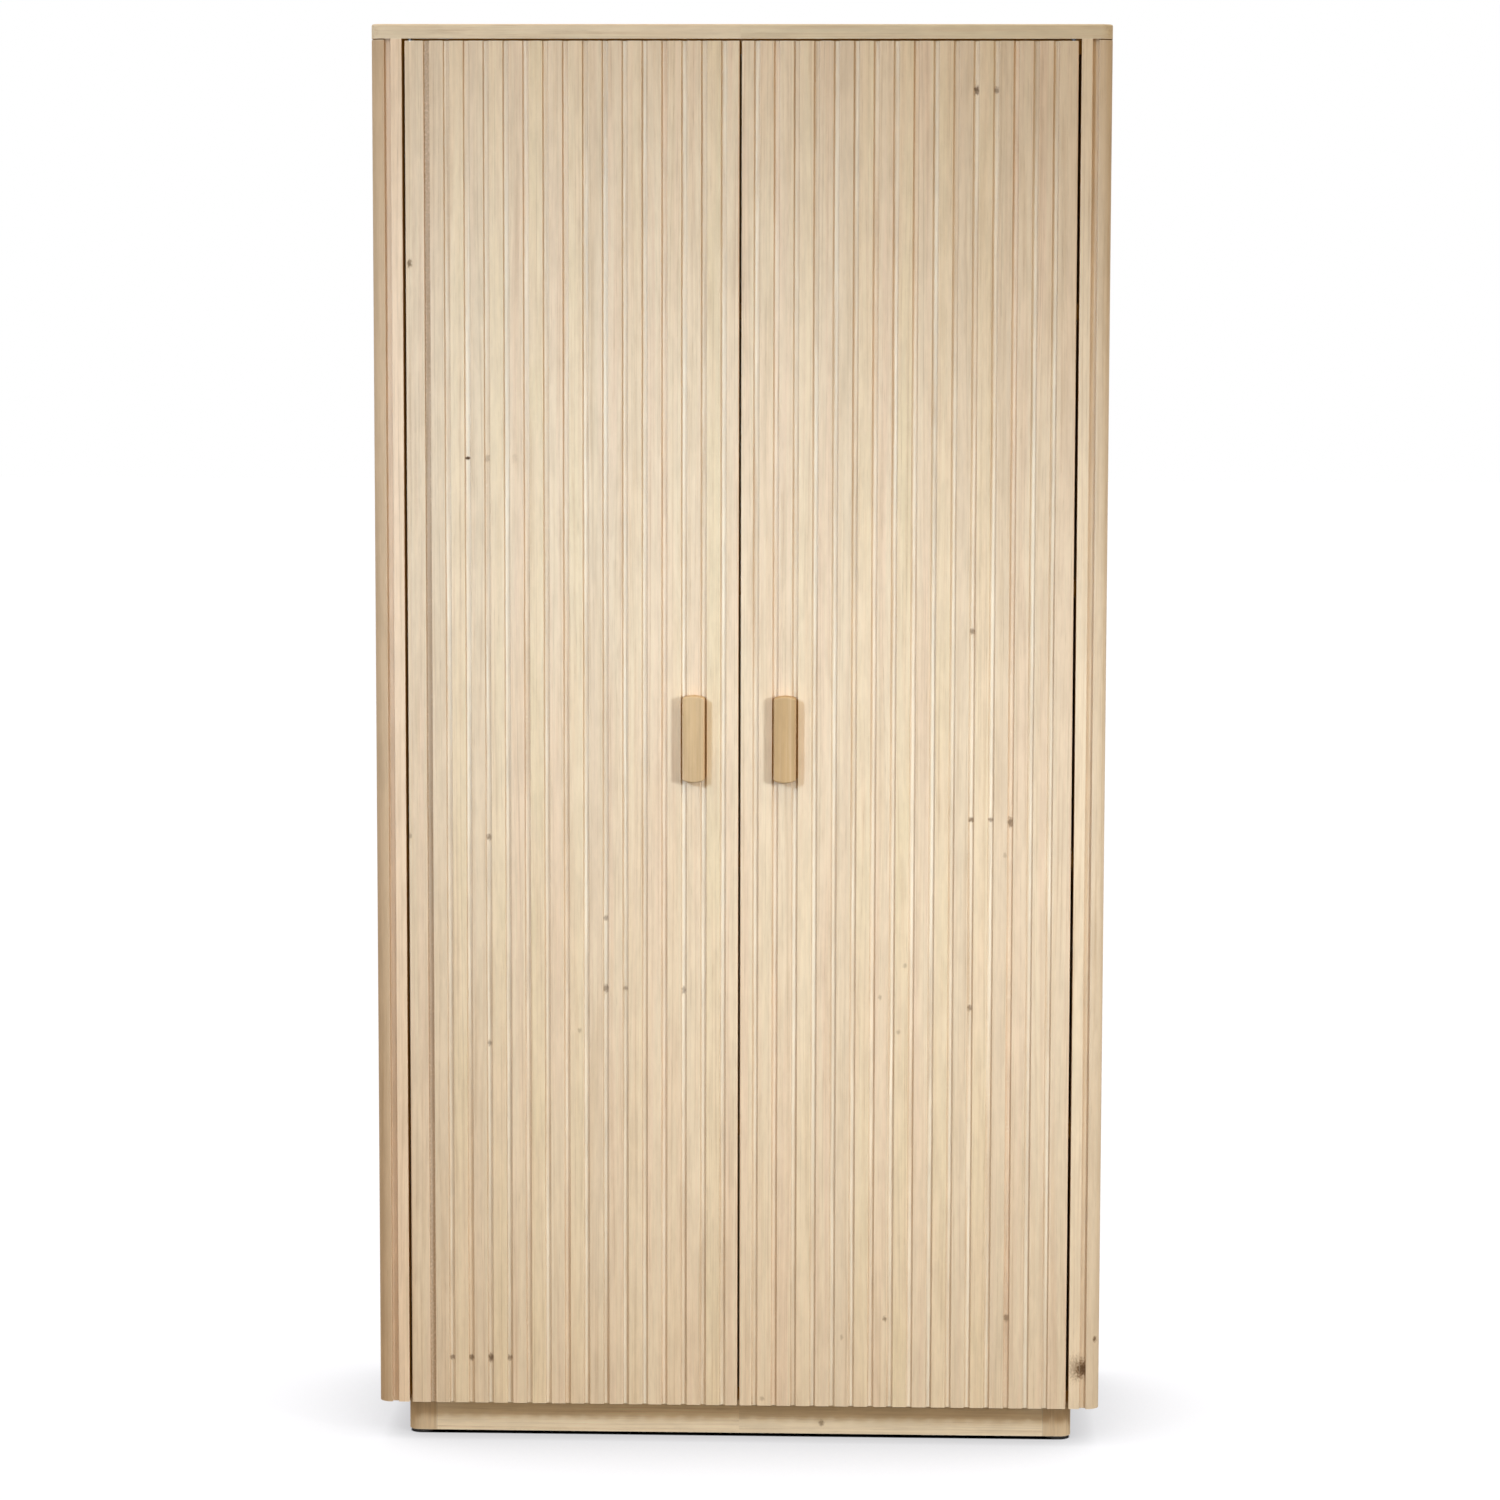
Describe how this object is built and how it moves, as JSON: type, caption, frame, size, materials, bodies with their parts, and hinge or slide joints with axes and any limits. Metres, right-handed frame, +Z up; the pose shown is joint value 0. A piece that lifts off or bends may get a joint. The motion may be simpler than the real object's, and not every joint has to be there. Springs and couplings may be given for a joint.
{
  "type": "slatted two-door cabinet",
  "caption": "Tall light-oak cabinet with two slatted doors on pivot hinges, block handles, rounded front corners, inner shelves and a recessed plinth.",
  "frame": {"origin": "on the floor, under the middle of the whole cabinet with its handles", "axes": "+X to the right seen from the front, +Y to the back, +Z up; the doors face -Y"},
  "size_m": [1.025, 0.469, 2],
  "materials": {
    "oak_slats": "brushed, limed and matt lacquered oak",
    "oak_carcass": "brushed, limed and matt lacquered oak",
    "oak_handle": "oiled oak, end grain eased",
    "oak_plinth": "matt lacquered oak",
    "oak_inside": "oak veneer, matt lacquered",
    "dowel_beech": "bare beech",
    "zinc_steel": "zinc plated",
    "bright_steel": "ground",
    "bush_brass": "turned",
    "catch_plastic": "moulded",
    "magnet_ferrite": "sintered",
    "glide_plastic": "moulded",
    "buffer_rubber": "clear, soft"
  },
  "bodies": {
    "cabinet": {"top_panel": "oak_carcass", "bottom_panel": "oak_inside", "back_panel": "oak_inside", "shelf_supports": "zinc_steel", "plinth_front_board": "oak_plinth", "plinth_back_board": "oak_plinth", "glides": "glide_plastic", "carcass_dowels": "dowel_beech", "plinth_dowels": "dowel_beech", "stop_rail": "oak_inside", "rail_screws": "zinc_steel", "catch_magnets": "magnet_ferrite", "catch_screws": "zinc_steel", "door_buffers": "buffer_rubber", "pivot_washers": "bush_brass", "pivot_screws": "zinc_steel", "back_screws": "zinc_steel", "shelf_1": "oak_inside", "shelf_2": "oak_inside", "shelf_3": "oak_inside", "shelf_4": "oak_inside", "left_side_panel": "oak_carcass", "left_front_post": "oak_carcass", "left_rear_post": "oak_carcass", "left_side_backing": "oak_carcass", "left_side_slats": "oak_slats", "left_plinth_board": "oak_plinth", "left_front_plinth_block": "oak_plinth", "left_rear_plinth_block": "oak_plinth", "left_catch": "catch_plastic", "left_top_pivot_plate": "zinc_steel", "left_bottom_pivot_plate": "zinc_steel", "left_top_pivot_pin": "bright_steel", "left_bottom_pivot_pin": "bright_steel", "right_side_panel": "oak_carcass", "right_front_post": "oak_carcass", "right_rear_post": "oak_carcass", "right_side_backing": "oak_carcass", "right_side_slats": "oak_slats", "right_plinth_board": "oak_plinth", "right_front_plinth_block": "oak_plinth", "right_rear_plinth_block": "oak_plinth", "right_catch": "catch_plastic", "right_top_pivot_plate": "zinc_steel", "right_bottom_pivot_plate": "zinc_steel", "right_top_pivot_pin": "bright_steel", "right_bottom_pivot_pin": "bright_steel"},
    "left_door": {"left_door_panel": "oak_slats", "left_door_slats": "oak_slats", "left_door_handle": "oak_handle", "left_handle_screws": "zinc_steel", "left_door_bushes": "bush_brass", "left_strike_plate": "zinc_steel"},
    "right_door": {"right_door_panel": "oak_slats", "right_door_slats": "oak_slats", "right_door_handle": "oak_handle", "right_handle_screws": "zinc_steel", "right_door_bushes": "bush_brass", "right_strike_plate": "zinc_steel"}
  },
  "joints": [
    {"name": "left_door_swing", "type": "hinge", "parent": "cabinet", "child": "left_door", "pos_m": [-0.4585, -0.2085, 0.06], "axis": [0, 0, -1], "range_deg": [0, 105]},
    {"name": "right_door_swing", "type": "hinge", "parent": "cabinet", "child": "right_door", "pos_m": [0.4585, -0.2085, 0.06], "axis": [0, 0, 1], "range_deg": [0, 105]}
  ]
}
